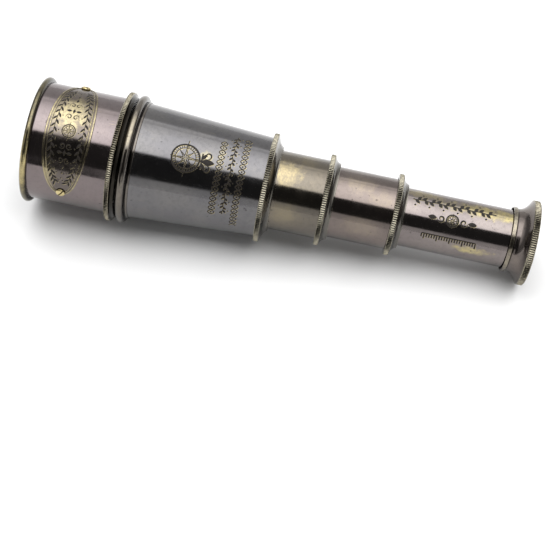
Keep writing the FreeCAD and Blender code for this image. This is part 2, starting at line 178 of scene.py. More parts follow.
def make_camera():
    level_forward = Vector((math.sin(CAMERA_YAW), math.cos(CAMERA_YAW), 0))
    forward = level_forward * math.cos(CAMERA_ELEVATION) - Vector((0, 0, math.sin(CAMERA_ELEVATION)))
    level = Vector((math.cos(CAMERA_YAW), -math.sin(CAMERA_YAW), 0))
    down = forward.cross(level)
    right = level * math.cos(CAMERA_ROLL) + down * math.sin(CAMERA_ROLL)
    up = level * math.sin(CAMERA_ROLL) - down * math.cos(CAMERA_ROLL)
    data = bpy.data.cameras.new("camera")
    data.sensor_width = SENSOR
    data.lens = LENS
    data.clip_start, data.clip_end = 0.01, 50
    camera = bpy.data.objects.new("camera", data)
    bpy.context.scene.collection.objects.link(camera)
    place = Matrix((right, up, -forward)).transposed().to_4x4()
    place.translation = CAMERA_TARGET - forward * CAMERA_DISTANCE
    camera.matrix_world = place
    bpy.context.scene.camera = camera


# The studio's light by direction: degrees from straight up towards the camera's side, and the tone there
SKY_BANDS = (
    (-180, 0.6), (-100, 1.0), (-62, 0.9), (-54, 0.95), (-50, 2.2), (-46, 1.75), (-40, 1.95), (-31, 2.7),
    (-19, 3.5), (0, 3.9), (14, 3.6), (22, 3.3), (24.5, 0.05), (71, 0.05), (73.5, 0.85), (95, 1.1), (180, 0.6),
)
PANEL_FROM, PANEL_TO = 55, 92     # a dark panel low on the camera's side, past the hood, in the same degrees
PANEL_ALONG = (-0.132, -0.152)    # and where it begins along the telescope
PANEL_EDGE = 4
PANEL_TONE = 0.05
SKY_END_TONES = (0.32, 1.5)       # the room past the ends of the overhead light, low down and high up
SKY_END_HEIGHTS = (0.30, 0.75)
SKY_END_FROM, SKY_END_TO = 0.50, 0.66
BACKDROP_TONE = 1.0
FLOOR_TONE = 0.80
FLOOR_SIZE = 3.0
FLOOR_FALL = 0.07                 # the floor's slope past the eyepiece, a little more than the draws' slope


def sky_bands(tree, angle):
    """The brightness of the sky by the angle about the telescope's length, out of the brightest."""
    ramp = tree.nodes.new("ShaderNodeValToRGB")
    tree.links.new(map_range(tree, angle, -math.pi, math.pi), ramp.inputs[0])
    stops = ramp.color_ramp.elements
    stops.remove(stops[-1])
    brightest = max(tone for _, tone in SKY_BANDS)
    for i, (degrees, tone) in enumerate(SKY_BANDS):
        stop = stops.new((degrees + 180) / 360) if i else stops[0]
        stop.position = (degrees + 180) / 360
        stop.color = (tone / brightest,) * 3 + (1,)
    return ramp.outputs["Color"], brightest


def make_world():
    """A soft studio: a long overhead light, a dark room on the camera's side, and pale walls."""
    world = bpy.data.worlds.new("studio")
    bpy.context.scene.world = world
    world.use_nodes = True
    tree = world.node_tree
    tree.nodes.clear()
    coords = tree.nodes.new("ShaderNodeTexCoord")
    split = tree.nodes.new("ShaderNodeSeparateXYZ")
    tree.links.new(coords.outputs["Generated"], split.inputs[0])
    along, across, height = split.outputs
    angle = math_node(tree, "ARCTAN2", product(tree, across, -1.0), height)
    bands, brightest = sky_bands(tree, angle)
    low, high = math.radians(PANEL_FROM), math.radians(PANEL_TO)
    edge = math.radians(PANEL_EDGE)
    panel = product(tree, map_range(tree, angle, low - edge, low),
                    map_range(tree, angle, high, high + edge, 1.0, 0.0),
                    map_range(tree, along, PANEL_ALONG[1], PANEL_ALONG[0], 1.0, 0.0))
    bands = mix_colour(tree, panel, bands, (PANEL_TONE / brightest,) * 3)
    past_end = map_range(tree, math_node(tree, "ABSOLUTE", along), SKY_END_FROM, SKY_END_TO, smooth=True)
    low_end, high_end = ((tone / brightest,) * 3 for tone in SKY_END_TONES)
    ends = mix_colour(tree, map_range(tree, height, *SKY_END_HEIGHTS, smooth=True), low_end, high_end)
    tone = mix_colour(tree, past_end, bands, ends)
    studio = tree.nodes.new("ShaderNodeBackground")
    tree.links.new(tone, studio.inputs["Color"])
    studio.inputs["Strength"].default_value = brightest
    backdrop = tree.nodes.new("ShaderNodeBackground")
    feed(tree, backdrop.inputs["Color"], (BACKDROP_TONE,) * 3)
    path = tree.nodes.new("ShaderNodeLightPath")
    mix = tree.nodes.new("ShaderNodeMixShader")
    for i, value in enumerate((path.outputs["Is Camera Ray"], studio.outputs[0], backdrop.outputs[0])):
        tree.links.new(value, mix.inputs[i])
    output = tree.nodes.new("ShaderNodeOutputWorld")
    tree.links.new(mix.outputs[0], output.inputs[0])


def make_floor():
    """A plain floor. It is level under the telescope and falls away past the eyepiece, where the draws come
    out along their sloping axis."""
    start = CAD_BOX[1][0]
    travel = sum(joint["range_m"][1] for joint in RECORD["behaviour"]["joints"])
    depth = -travel * FLOOR_FALL
    edges = ((-FLOOR_SIZE, 0.0), (start, 0.0), (start + travel, depth), (FLOOR_SIZE, depth))
    mesh = bpy.data.meshes.new("floor")
    mesh.from_pydata([(x, y, z) for x, z in edges for y in (-FLOOR_SIZE, FLOOR_SIZE)], [],
                     [(2 * i, 2 * i + 2, 2 * i + 3, 2 * i + 1) for i in range(len(edges) - 1)])
    floor = bpy.data.objects.new("floor", mesh)
    bpy.context.scene.collection.objects.link(floor)
    material, tree, shader = new_material("floor_paper")
    finish_shader(tree, shader, (FLOOR_TONE,) * 3, 0.8)
    shader.inputs["Specular IOR Level"].default_value = 0.1
    mesh.materials.append(material)


# ---------------------------------------------------------------- materials

def new_material(name):
    material = bpy.data.materials.new(name)
    material.use_nodes = True
    tree = material.node_tree
    tree.nodes.clear()
    shader = tree.nodes.new("ShaderNodeBsdfPrincipled")
    output = tree.nodes.new("ShaderNodeOutputMaterial")
    tree.links.new(shader.outputs[0], output.inputs[0])
    return material, tree, shader


def axis_coordinates(tree):
    """A point in the telescope's own frame, its station and its radius, in millimetres, and its turn round
    the axis, in radians."""
    coords = tree.nodes.new("ShaderNodeTexCoord")
    place = tree.nodes.new("ShaderNodeMapping")
    place.vector_type = "POINT"
    place.inputs["Rotation"].default_value = TO_AXIS.to_3x3().to_euler()
    place.inputs["Location"].default_value = TO_AXIS.translation / MM
    place.inputs["Scale"].default_value = (1 / MM,) * 3
    tree.links.new(coords.outputs["Object"], place.inputs["Vector"])
    split = tree.nodes.new("ShaderNodeSeparateXYZ")
    tree.links.new(place.outputs[0], split.inputs[0])
    x, y, z = split.outputs
    radius = math_node(tree, "SQRT", total(tree, product(tree, y, y), product(tree, z, z)))
    turn = math_node(tree, "ARCTAN2", z, y)
    return place.outputs[0], x, radius, turn


BRASS = (0.50, 0.41, 0.20)
BLACK = (0.012, 0.011, 0.010)


def darker(colour, share):
    return tuple(channel * share for channel in colour)


def wear_and_highlight_patch(tree, station, turn, ragged, patch):
    """One soft-edged oval of brighter brass. Some are patina thinned by handling, and some are painted
    highlights and painted reflections where the light falls. A patch is its centre's station and angle,
    its half length, its half angle and its strength."""
    centre, angle, half_length, half_angle, strength = patch
    along = math_node(tree, "DIVIDE", math_node(tree, "SUBTRACT", station, centre), half_length)
    around = math_node(tree, "SUBTRACT", turn, math.radians(angle))
    around = math_node(tree, "DIVIDE", around, math.radians(half_angle))
    square = total(tree, product(tree, along, along), product(tree, around, around))
    distance = total(tree, math_node(tree, "SQRT", square), product(tree, ragged, 2.0))
    return map_range(tree, distance, 1.25, 2.1, strength, 0.0, smooth=True)


def scratches_along(tree, point, station, radius, turn):
    """Fine scratches along the tube, in scattered groups."""
    along, around = product(tree, station, 0.12), product(tree, turn, 95.0)
    lines = noise(tree, combine(tree, along, around, product(tree, radius, 0.1)), 1.0, 2.0, 0.5)
    groups = noise(tree, point, 0.16, 2.0)
    return product(tree, map_range(tree, lines, 0.70, 0.75), map_range(tree, groups, 0.48, 0.6))


def bronzed(name, patina, tint, roughness=0.10, wear_and_shade_maps=False, inside_radius=None, brass=BRASS, wear=1.0,
            lines=1.0, patches=()):
    """Chemically darkened brass, polished on a lathe. It shows worn-through brass where the mesh's wear map
    says, and brighter brass in patches: thinner patina in some, painted highlights and painted reflections in
    others. It is darker where the mesh's shade layer says: painted shade. Inside a radius it is matt black."""
    material, tree, shader = new_material(name)
    point, station, radius, turn = axis_coordinates(tree)
    clouds = noise(tree, point, 0.07, 4.0, 0.6)
    mottle = noise(tree, point, 0.55, 3.0, 0.6, 0.3)
    colour = mix_colour(tree, map_range(tree, clouds, 0.35, 0.68, smooth=True), patina, tint)
    colour = mix_colour(tree, map_range(tree, mottle, 0.48, 0.75, 0.0, 0.4), colour, darker(patina, 0.6))

    ring_coords = combine(tree, product(tree, station, 9.0), product(tree, turn, 0.8), 0.0)
    rings = noise(tree, ring_coords, 1.0, 4.0, 0.7)
    colour = mix_colour(tree, map_range(tree, rings, 0.4, 0.7, 0.0, 0.25 * lines), colour, tint)

    ragged = noise(tree, point, 0.28, 5.0, 0.65)
    wear_and_highlight = 0.0
    for patch in patches:
        wear_and_highlight = math_node(tree, "MAXIMUM", wear_and_highlight, wear_and_highlight_patch(tree, station, turn, ragged, patch))
    if patches:
        patch_share = product(tree, wear_and_highlight, map_range(tree, mottle, 0.35, 0.6, 0.5, 1.0))
        colour = mix_colour(tree, patch_share, colour, brass)

    scratches = scratches_along(tree, point, station, radius, turn)
    worn = product(tree, scratches, 0.35 * wear)
    if wear_and_shade_maps:
        broken_up = map_range(tree, noise(tree, point, 0.9, 5.0, 0.7), 0.36, 0.60, 0.2, 1.0)
        worn = math_node(tree, "MAXIMUM", worn, product(tree, attribute(tree, "wear"), broken_up, wear))
    colour = mix_colour(tree, worn, colour, mix_colour(tree, mottle, brass, darker(brass, 0.7)))

    spots = map_range(tree, noise(tree, point, 0.42, 2.0, 0.5), 0.69, 0.76)
    colour = mix_colour(tree, product(tree, spots, 0.6), colour, darker(patina, 0.35))
    # Painted shade: darker where the mesh's shade layer says, in recesses, grooves and slots; grime and
    # painted shade in tooth roots
    if wear_and_shade_maps:
        grime_and_shade = product(tree, attribute(tree, "grime_and_shade"), 0.92)
        colour = mix_colour(tree, grime_and_shade, colour, darker(patina, 0.12))

    smears = noise(tree, point, 0.12, 5.0, 0.7, 0.8)
    rough = total(tree, map_range(tree, smears, 0.42, 0.68, roughness * 0.8, roughness * 1.5),
                  product(tree, rings, 0.04 * lines), product(tree, spots, 0.15), product(tree, worn, 0.07))
    metallic = 1.0
    if inside_radius:
        inside = map_range(tree, radius, inside_radius, inside_radius + 0.1, 1.0, 0.0)
        colour = mix_colour(tree, inside, colour, BLACK)
        rough = math_node(tree, "MAXIMUM", rough, product(tree, inside, 0.62))
        metallic = math_node(tree, "SUBTRACT", 1.0, inside)
    finish_shader(tree, shader, colour, rough, metallic)
    height = total(tree, product(tree, rings, 0.35 * lines), product(tree, mottle, 0.35))
    add_bump(tree, shader, math_node(tree, "SUBTRACT", height, product(tree, scratches, 0.8)), 0.05)
    return material


def finish_shader(tree, shader, colour, rough, metallic=0.0):
    feed(tree, shader.inputs["Base Color"], colour)
    feed(tree, shader.inputs["Roughness"], rough)
    feed(tree, shader.inputs["Metallic"], metallic)


def add_bump(tree, shader, height, strength):
    bump = tree.nodes.new("ShaderNodeBump")
    bump.inputs["Strength"].default_value = strength
    bump.inputs["Distance"].default_value = 0.0002
    tree.links.new(height, bump.inputs["Height"])
    tree.links.new(bump.outputs[0], shader.inputs["Normal"])


def plain_metal(name, colour, dark, roughness):
    """Bare or blackened metal with uneven tone and fine turning lines."""
    material, tree, shader = new_material(name)
    point, station, radius, turn = axis_coordinates(tree)
    mottle = noise(tree, point, 0.8, 4.0, 0.6)
    lines = noise(tree, combine(tree, product(tree, station, 12.0), turn, radius), 1.0, 3.0, 0.6)
    tone = mix_colour(tree, map_range(tree, mottle, 0.35, 0.7), colour, dark)
    rough = total(tree, map_range(tree, mottle, 0.3, 0.7, roughness * 0.8, roughness * 1.3),
                  product(tree, lines, 0.08))
    finish_shader(tree, shader, tone, rough, 1.0)
    add_bump(tree, shader, lines, 0.1)
    return material


def engraving_fill():
    """Black wax in the cut lines: matt, a little brown, and uneven."""
    material, tree, shader = new_material("engraving_fill")
    point = axis_coordinates(tree)[0]
    grain = noise(tree, point, 2.2, 4.0, 0.65)
    tone = mix_colour(tree, grain, (0.004, 0.003, 0.003), (0.022, 0.017, 0.012))
    finish_shader(tree, shader, tone, map_range(tree, grain, 0.3, 0.7, 0.45, 0.75))
    shader.inputs["Specular IOR Level"].default_value = 0.25
    return material


def lens_glass():
    material, tree, shader = new_material("lens_glass")
    point = axis_coordinates(tree)[0]
    haze = noise(tree, point, 0.2, 3.0)
    tone = mix_colour(tree, haze, (0.93, 0.97, 0.95), (0.97, 0.99, 0.98))
    finish_shader(tree, shader, tone, map_range(tree, haze, 0.3, 0.8, 0.0, 0.03))
    shader.inputs["Transmission Weight"].default_value = 1.0
    shader.inputs["IOR"].default_value = 1.52
    return material


# ---------------------------------------------------------------- mesh tools

SHARP_ANGLE = math.radians(38)


def make_piece(name, points, faces, material, body, slot, layers=None):
    """A mesh piece that rides on a body. Its layers are named values, one for each point."""
    mesh = bpy.data.meshes.new(name)
    mesh.from_pydata([tuple(p) for p in points], [], faces)
    mesh.materials.append(material)
    for layer_name, values in (layers or {}).items():
        layer = mesh.attributes.new(layer_name, "FLOAT", "POINT")
        layer.data.foreach_set("value", np.asarray(values, np.float32).ravel())
    work = bmesh.new()
    work.from_mesh(mesh)
    bmesh.ops.recalc_face_normals(work, faces=work.faces)
    work.to_mesh(mesh)
    work.free()
    mesh.shade_smooth()
    mesh.set_sharp_from_angle(angle=SHARP_ANGLE)
    piece = bpy.data.objects.new(name, mesh)
    bpy.context.scene.collection.objects.link(piece)
    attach(piece, body)
    return piece


def grid_faces(rows, columns, start=0, wrap_rows=False, wrap_columns=True):
    """The four-sided faces of a grid of points, which are numbered row by row."""
    faces = []
    for i in range(rows if wrap_rows else rows - 1):
        here, below = start + i * columns, start + (i + 1) % rows * columns
        for j in range(columns if wrap_columns else columns - 1):
            after = (j + 1) % columns
            faces.append((here + j, here + after, below + after, below + j))
    return faces


def half_round(front, foot, half, rise, start=0, end=180, steps=24, wear=None):
    """An arched stretch of an outline, worn along its top unless its wear is given."""
    turns = np.radians(np.linspace(start, end, steps + 1))
    return [(front + half - half * math.cos(t), foot + rise * math.sin(t),
             wear or max(0.0, math.sin(t) - 0.5) * 1.6) for t in turns]


SEGMENTS = 256           # round a plain turned piece
PER_TOOTH = 8            # round each tooth of a knurled one


def turned(node, ending, outline, material, body, slot="worn_brass", teeth=0, painted_shade=None):
    """A closed section turned round the axis, in place of a CAD node. A point of the outline is (station,
    radius, wear, tooth depth), and the last two may be left out. The teeth are rounded and run along the
    axis, and their roots are darker: grime and painted shade. Painted shade is one value for each point,
    and darkens recesses and grooves."""
    count = teeth * PER_TOOTH or SEGMENTS
    rows = np.array([(*p, 0.0, 0.0)[:4] for p in outline])
    angles = np.linspace(0, 2 * math.pi, count, endpoint=False)
    root = 0.5 - 0.5 * np.cos(angles * teeth)
    stations = np.repeat(rows[:, :1], count, axis=1)
    radii = rows[:, 1:2] - rows[:, 3:4] * root[None, :]
    points = axis_points(stations, radii, np.repeat(angles[None, :], len(rows), axis=0)).reshape(-1, 3)
    # The roots of the teeth get the darker colour: grime and painted shade
    cut = (rows[:, 3:4] > 0) * root[None, :] ** 2
    wear = rows[:, 2:3] * (1 - cut)
    # Painted shade in recesses and grooves, point by point
    if painted_shade:
        cut = np.maximum(cut, np.array(painted_shade)[:, None])
    faces = grid_faces(len(rows), count, wrap_rows=True)
    piece = make_piece(f"{node}_{ending}", points, faces, material, body, slot, {"wear": wear, "grime_and_shade": cut})
    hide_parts(node)


# ---------------------------------------------------------------- knurled rings

TOOTH_PITCH = 1.06
TOOTH_DEPTH = 0.36


def teeth_for(radius):
    return round(2 * math.pi * radius / TOOTH_PITCH)


def knurled_band(front, rear, radius, chamfer, crown=0.1):
    """The outline of a knurled band: plain chamfers, and teeth that run out at each edge."""
    points = [(front, radius - chamfer - 0.35, 0.2), (front, radius - chamfer, 0.7),
              (front + chamfer * 0.9, radius - 0.02, 0.9),
              (front + chamfer + 0.12, radius, 0.9, TOOTH_DEPTH * 0.6)]
    steps = 5
    for i in range(steps + 1):
        share = i / steps
        station = front + chamfer + 0.15 + (rear - front - 2 * chamfer - 0.3) * share
        points.append((station, radius - crown * (2 * share - 1) ** 2, 0.85, TOOTH_DEPTH))
    return points + [(rear - chamfer - 0.06, radius - 0.02, 0.9, TOOTH_DEPTH * 0.6),
                     (rear - chamfer * 0.9, radius - 0.04, 1.0), (rear, radius - chamfer - 0.02, 0.8)]


BAND_WIDTH, SHOULDER_WIDTH = 2.4, 3.0      # of a collar
SHOULDER_DIP = 0.62


def collar_piece(node, body, material, draw):
    """A collar with its knurled band, its hollow shoulder and the thin lip round the draw."""
    _, rear, _, largest = span(node)
    crest = rear - SHOULDER_WIDTH
    front = crest - BAND_WIDTH
    foot = largest - 0.3
    lip, mouth = draw + 1.46, draw + 0.16
    outline = knurled_band(front, crest, largest, 0.2)
    for share in np.linspace(0, 1, 13)[1:]:
        dip = SHOULDER_DIP * math.sin(math.pi * share)
        outline.append((crest + 0.05 + (SHOULDER_WIDTH - 0.4) * share - dip * 0.5,
                        foot + (lip - foot) * share - dip))
    outline += [(rear - 0.12, lip + 0.02, 0.25), (rear, lip - 0.12, 0.3), (rear, mouth + 0.15),
                (rear - 0.12, mouth), (rear - 0.5, mouth), (rear - 0.5, mouth + 0.4),
                (crest, largest - 2.2), (front + 0.8, largest - 2.2), (front, largest - 2.0)]
    turned(node, "knurled", outline, material, body, teeth=teeth_for(largest))


def objective_ring(material):
    """The hood's grip: a knurled band, a hollow shoulder behind it and the spigot inside the barrel."""
    node = "objective_knurled_ring"
    front, rear, smallest, largest = span(node)
    hood = span("hood_tube")[3]
    crest, end, seat = front + 2.2, front + 4.0, front + 1.8
    spigot, hood_side = smallest + 1.17, hood + 0.02
    outline = knurled_band(front, crest, largest, 0.25, crown=0.12)
    painted_shade = [0.0] * len(outline)
    # Painted shade: the hollow shoulder is darkened, and the faces in the joints and inside are darkest
    for share in np.linspace(0, 1, 11)[1:]:
        outline.append((crest + 0.1 + (end - crest - 0.1) * share ** 1.5,
                        largest - 0.4 - 1.8 * share ** 0.6))
        painted_shade.append(0.75)
    outline += [(end, spigot), (rear, spigot), (rear, smallest), (seat, smallest), (seat, hood_side),
                (front, hood_side), (front, largest - 1.2)]
    painted_shade += [1.0] * 7
    turned(node, "turned", outline, material, "barrel", teeth=teeth_for(largest), painted_shade=painted_shade)


def front_rim_ring(material):
    """The hood's rounded rim, with painted shade in the corner behind it, and its spigot inside the hood."""
    node = "front_rim"
    front, rear, smallest, largest = span(node)
    hood = span("hood_tube")[3]
    width, seat = 3.2, front + 0.8
    foot, hood_side, spigot, bevel = hood + 0.34, hood + 0.03, smallest + 0.87, 0.3
    outline = half_round(front, foot, width / 2, largest - foot)
    outline += [(front + width, hood_side), (seat, hood_side), (seat, spigot), (rear, spigot),
                (rear, smallest), (front + bevel, smallest), (front, smallest + bevel)]
    painted_shade = [0.0] * 21 + [0.35, 0.7] + [1.0] * 9
    turned(node, "turned", outline, material, "barrel", painted_shade=painted_shade)


def bead_ring(material):
    """The bead at the barrel's mouth and the low band behind it, with painted shade in the groove between
    them, at the bead's front foot and behind the band.
    """
    node = "barrel_bead_ring"
    front, rear, smallest, largest = span(node)
    half, band = 1.9, 1.7
    barrel = span("barrel_tube")[3]
    outline = half_round(front, largest - half, half, half)
    groove, neck = front + 2 * half, smallest + 1.3
    outline += [(groove + 0.02, barrel + 0.1), (groove + 0.3, barrel + 0.1), (groove + 0.38, barrel + 0.36),
                (groove + 0.5, barrel + 0.45, 0.4), (groove + band - 0.25, barrel + 0.45, 0.4),
                (groove + band - 0.05, barrel + 0.3), (groove + band, barrel + 0.05),
                (groove + band, neck), (rear, neck), (rear, smallest), (front, smallest)]
    painted_shade = [1.0, 0.8, 0.4] + [0.0] * 18 + [0.3, 0.7] + [1.0] * 4 + [0.8, 0.1, 0.0, 0.5] + [1.0] * 5
    turned(node, "turned", outline, material, "barrel", painted_shade=painted_shade)


CUP_SEAT = 18.03         # where the eyepiece's rim fits on its cup


def eyepiece_rim(material):
    node = "eyepiece_knurled_rim"
    front, rear, smallest, largest = span(node)
    seat = front + 1.5
    outline = [(front, CUP_SEAT, 0.1), *knurled_band(front, rear, largest, 0.35, crown=0.12)[1:]]
    outline += [(rear, largest - 0.9, 0.3), (rear, smallest + 0.9, 0.3), (rear - 0.12, smallest + 0.5, 0.6),
                (rear - 0.45, smallest + 0.2, 0.3), (rear - 1.1, smallest), (seat, smallest),
                (seat, CUP_SEAT)]
    turned(node, "turned", outline, material, "draw_3", teeth=teeth_for(largest))


def eyepiece_cup(material):
    """The cup: a rounded lip with a recess round the draw, a groove and a hollow flare up to the rim. The
    recess and the groove are darkened with painted shade.
    """
    node = "eyepiece_body"
    front, rear = span(node)[:2]
    rim_front, _, _, rim = span("eyepiece_knurled_rim")
    disc_front, _, _, disc = span("eyepiece_eye_disc")
    draw = span("draw_3_tube")[3] + 0.04
    lip, flare = draw + 1.57, rim - 0.45
    groove, recess, rounding = front + 2.2, front + 1.6, 0.3
    outline = [(recess, draw), (recess, lip - 0.62), (front + 0.1, lip - 0.6), (front, lip - 0.5, 0.5)]
    outline += half_round(front, lip - rounding, rounding, rounding, 0, 90, 5, wear=0.8)
    outline += half_round(groove - 3 * rounding, lip - rounding, rounding, rounding, 90, 180, 5, wear=0.7)
    outline += [(groove - 0.28, lip - 0.6), (groove - 0.1, lip - 0.72), (groove + 0.12, lip - 0.66)]
    for share in np.linspace(0, 1, 29)[1:]:
        outline.append((groove + 0.12 + (rim_front - groove - 0.12) * share,
                        lip - 0.5 + (flare - lip + 0.5) * share ** 2.3))
    seat, web = CUP_SEAT - 0.03, disc_front - 1.2
    outline += [(rim_front, seat), (rear, seat), (rear, CUP_SEAT - 0.9), (rear - 3.1, CUP_SEAT - 2.9),
                (disc_front + 1.2, disc + 0.5), (disc_front, disc + 0.03), (disc_front - 0.02, disc - 0.8),
                (web, disc - 0.8), (web, draw)]
    painted_shade = [1.0] * 3 + [0.0] * 13 + [0.8, 0.9, 0.5] + [0.0] * (len(outline) - 19)
    turned(node, "turned", outline, material, "draw_3", "bronzed_brass", painted_shade=painted_shade)


# ---------------------------------------------------------------- nameplate screws

SCREW_RADIUS, SCREW_HEIGHT, SLOT_WIDTH, SLOT_DEPTH = 2.2, 1.1, 0.62, 0.6
SCREW_EDGE = 0.18         # how high the head stands at its edge
SCREW_SHANK, SCREW_DEPTH = 0.95, 1.5
SLOT_TURNS = (-24, 36)    # of the upper and the lower screw, from round the hood towards the eyepiece


def screw_piece(name, material, station, angle, seat, slot_turn):
    """A round-head screw. Its head is loops of points side by side, each over the top and back underneath,
    and lower in the slot. A shank goes into the hood."""
    half_slot = SLOT_WIDTH / 2
    across = SCREW_RADIUS * np.sin(np.linspace(-0.47, 0.47, 25) * math.pi)    # closer together at the edge
    sides = across[across < -half_slot - 0.05], across[across > half_slot + 0.05]
    across = np.concatenate([sides[0], (-half_slot, -half_slot, half_slot, half_slot), sides[1]])
    in_slot = np.zeros((len(across), 1))
    in_slot[len(sides[0]) + 1:len(sides[0]) + 3] = 1

    share = np.sin(np.linspace(-0.5, 0.5, 21) * math.pi)
    u = np.repeat(across[:, None], len(share), axis=1)
    v = share * np.sqrt(SCREW_RADIUS ** 2 - u ** 2)
    reach = np.minimum(np.hypot(u, v) / SCREW_RADIUS, 1)
    height = SCREW_EDGE + (SCREW_HEIGHT - SCREW_EDGE) * np.sqrt(1 - reach ** 2) ** 0.9
    height = np.where(in_slot, np.minimum(height, SCREW_HEIGHT - SLOT_DEPTH), height)
    turn = math.radians(slot_turn)
    x = u * math.cos(turn) + v * math.sin(turn)
    y = v * math.cos(turn) - u * math.sin(turn)
    top, base = (np.stack([x, y, level], axis=-1) for level in (height, np.full_like(height, -0.02)))
    head = np.concatenate([top, base[:, ::-1]], axis=1)
    rows, columns = head.shape[:2]
    faces = grid_faces(rows, columns)
    faces += [tuple(range(i * columns, (i + 1) * columns)) for i in (0, rows - 1)]

    circle = ring_path(0, 0, SCREW_SHANK, 24)
    ends = [np.column_stack([circle, np.full(len(circle), level)]) for level in (0.0, -SCREW_DEPTH)]
    start, ring = rows * columns, len(circle)
    faces += grid_faces(2, ring, start)
    faces += [tuple(range(i, i + ring)) for i in (start, start + ring)]

    local = np.concatenate([head.reshape(-1, 3), *ends])
    outward = np.array(UP * math.cos(angle) + NEAR * math.sin(angle))
    directions = np.array([ALONG, np.cross(outward, ALONG), outward])
    points = axis_points(station, seat, angle) + MM * local @ directions
    # The slot is darkened with painted shade, and the head's edge with dirt and painted shade
    dirt_and_shade = np.maximum(in_slot, (reach > 0.96) * 0.7)
    layers = {}
    for layer, values in (("wear", np.ones_like(dirt_and_shade)), ("grime_and_shade", dirt_and_shade)):
        whole = np.concatenate([values, np.zeros_like(values)], axis=1)
        layers[layer] = np.append(whole, np.zeros(2 * ring))
    return make_piece(name, points, faces, material, "barrel", "bright_brass", layers)


def make_screws(material):
    stations, radii, angles = node_points("nameplate_screws")
    station = (stations.min() + stations.max()) / 2
    middle = (angles.min() + angles.max()) / 2
    seat = radii.max() - SCREW_HEIGHT
    for i, side in enumerate((angles < middle, angles > middle)):
        angle = (angles[side].min() + angles[side].max()) / 2
        piece = screw_piece(f"nameplate_screw_{i + 1}", material, station, angle, seat, SLOT_TURNS[i])
        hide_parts("nameplate_screws")


# ---------------------------------------------------------------- engraving

INLAY_RISE = 0.04
INLAY_DEPTH = 0.06
LIT_EDGE_SHIFT = (0.12, 0.14)    # painted highlight: the cut's bright edge, on the side away from the light
BARE_LIT_EDGE_RISE = 0.012


class Engraving:
    """Cut and blackened lines on a round surface. A design is drawn flat, in millimetres: x along the axis
    and y round it, from a centre on the surface. Each line is a thin closed inlay that follows the surface,
    and a lower strip of brass colour, the metal laid open by the cut, lies beside it on one side only: a
    painted highlight on the cut's lit edge."""

    def __init__(self, station, angle, surface):
        self.station, self.angle, self.surface = station, math.radians(angle), surface
        self.girth = surface(station)
        self.meshes = {"fill": ([], []), "bare_lit_edge": ([], [])}

    def wrap(self, flat, lift):
        """Points of the flat design laid on the surface, at a height over it."""
        flat = np.asarray(flat, float)
        stations = self.station + flat[:, 0]
        return axis_points(stations, self.surface(stations) + lift, self.angle + flat[:, 1] / self.girth)

    def strip(self, kind, path, sideways, half, rise, closed):
        """An inlay along a path: rows of points at its two sides, along its crest and below it."""
        points, faces = self.meshes[kind]
        start, count = len(points), len(path)
        spread = sideways * half[:, None]
        for flat, lift in ((path + spread, 0.0), (path, rise), (path - spread, 0.0), (path, -INLAY_DEPTH)):
            points.extend(self.wrap(flat, lift))
        faces += grid_faces(4, count, start, wrap_rows=True, wrap_columns=closed)
        if not closed:
            for i in (0, count - 1):
                faces.append(tuple(start + row * count + i for row in range(4)))

    def line(self, path, width, closed=False, taper=False):
        path = np.asarray(path, float)
        if closed:
            ahead = np.roll(path, -1, axis=0) - np.roll(path, 1, axis=0)
        else:
            ahead = np.gradient(path, axis=0)
        ahead /= np.maximum(np.hypot(*ahead.T), 1e-9)[:, None]
        sideways = np.stack([-ahead[:, 1], ahead[:, 0]], axis=1)
        half = np.full(len(path), width / 2)
        if taper:
            half *= np.clip(np.sin(math.pi * np.linspace(0.06, 0.94, len(path))), 0.25, 1)
        self.strip("fill", path, sideways, half, INLAY_RISE, closed)
        # Painted highlight: a brass-coloured strip beside the line, on one side only
        self.strip("bare_lit_edge", path + LIT_EDGE_SHIFT, sideways, half, BARE_LIT_EDGE_RISE, closed)

    def slab(self, kind, outline, rise):
        """A closed flat patch from an outline round its middle."""
        points, faces = self.meshes[kind]
        middle = outline.mean(axis=0)
        start, count = len(points), len(outline)
        inner = middle + (outline - middle) * 0.5
        for flat, lift in ((outline, 0.0), (inner, rise), (outline, -INLAY_DEPTH)):
            points.extend(self.wrap(flat, lift))
        points.extend(self.wrap([middle, middle], np.array([rise, -INLAY_DEPTH])))
        top, bottom = start + 3 * count, start + 3 * count + 1
        for i in range(count):
            j = (i + 1) % count
            a, b, c = start + i, start + count + i, start + 2 * count + i
            d, e, f = start + j, start + count + j, start + 2 * count + j
            faces += [(a, d, e, b), (b, e, top), (d, a, c, f), (f, c, bottom)]

    def patch(self, outline):
        outline = np.asarray(outline, float)
        self.slab("fill", outline, INLAY_RISE)
        self.slab("bare_lit_edge", outline + LIT_EDGE_SHIFT, BARE_LIT_EDGE_RISE)

    def build(self, name, fill, bare_lit_edge, body, slot):
        make_piece(name, *self.meshes["fill"], fill, body, slot)
        make_piece(name + "_lit_edges", *self.meshes["bare_lit_edge"], bare_lit_edge, body, slot)


def ring_path(x, y, radius, steps):
    angles = np.linspace(0, 2 * math.pi, steps, endpoint=False)
    return np.stack([x + radius * np.cos(angles), y + radius * np.sin(angles)], axis=1)


def spiral_path(x, y, radius, turns, start, hand):
    share = np.linspace(0, 1, 26)
    angles = math.radians(start) + hand * share * turns * 2 * math.pi
    reach = radius * (1 - 0.8 * share)
    return np.stack([x + reach * np.cos(angles), y + reach * np.sin(angles)], axis=1)


def straight(a, b, steps):
    return np.linspace(a, b, steps)


def leaf(x, y, length, width, angle):
    share = np.linspace(0, 1, 9)
    upper = np.stack([share * length, np.sin(math.pi * share) ** 0.8 * width / 2], axis=1)
    flat = np.concatenate([upper, upper[-2:0:-1] * (1, -1)])
    c, s = math.cos(math.radians(angle)), math.sin(math.radians(angle))
    return flat @ np.array([[c, s], [-s, c]]) + (x, y)


